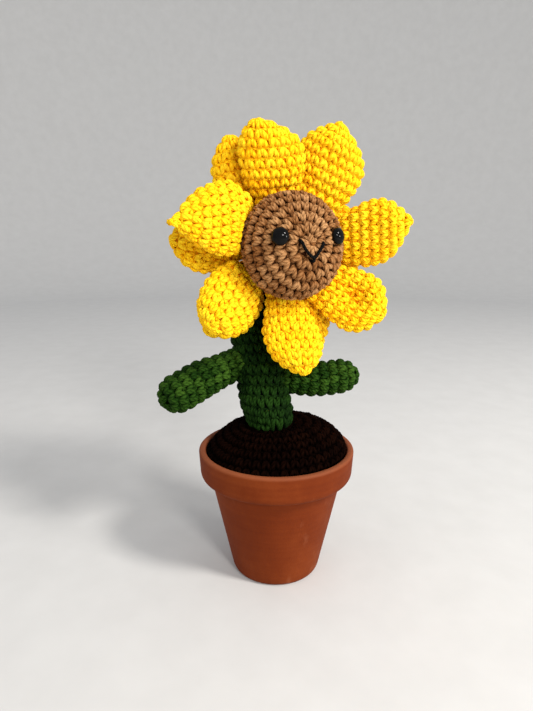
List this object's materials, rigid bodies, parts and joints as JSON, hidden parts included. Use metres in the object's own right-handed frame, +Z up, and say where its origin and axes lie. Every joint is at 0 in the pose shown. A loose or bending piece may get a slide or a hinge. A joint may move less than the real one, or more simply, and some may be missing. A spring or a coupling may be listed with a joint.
{
  "type": "crocheted potted sunflower",
  "caption": "Crocheted toy sunflower with plump yellow petals and a smiling brown face, on a bent green stem with leaves, in a terracotta clay pot.",
  "frame": {"origin": "middle of the footprint of the whole toy's bounding box, on the surface that the pot stands on", "axes": "+Z up; -Y is the front, the side that the face is seen from; +X is to the right of someone looking at the front"},
  "size_m": [0.1264, 0.0796, 0.2257],
  "materials": {
    "clay": "matte unglazed terracotta",
    "soil_yarn": "very dark brown crocheted yarn",
    "stem_yarn": "dark green crocheted yarn",
    "leaf_yarn": "green crocheted yarn",
    "head_yarn": "tan brown crocheted yarn",
    "petal_yarn": "bright yellow crocheted yarn",
    "filling": "white polyester fibre",
    "eye_plastic": "polished black",
    "washer_plastic": "plain white",
    "mouth_thread": "black embroidery thread"
  },
  "bodies": {
    "root": {"pot": "clay", "soil_cover": "soil_yarn", "soil_filling": "filling", "stem_cover": "stem_yarn", "stem_filling": "filling", "leaf_left": "leaf_yarn", "leaf_right": "leaf_yarn", "head_cover": "head_yarn", "head_filling": "filling", "eye_left": "eye_plastic", "eye_right": "eye_plastic", "eye_washer_left": "washer_plastic", "eye_washer_right": "washer_plastic", "mouth_thread": "mouth_thread", "petal_front_1": "petal_yarn", "petal_front_2": "petal_yarn", "petal_front_3": "petal_yarn", "petal_front_4": "petal_yarn", "petal_front_5": "petal_yarn", "petal_front_6": "petal_yarn", "petal_front_7": "petal_yarn", "petal_back_1": "petal_yarn", "petal_back_2": "petal_yarn", "petal_back_3": "petal_yarn", "petal_back_4": "petal_yarn", "petal_back_5": "petal_yarn", "petal_back_6": "petal_yarn", "petal_back_7": "petal_yarn"}
  },
  "joints": []
}
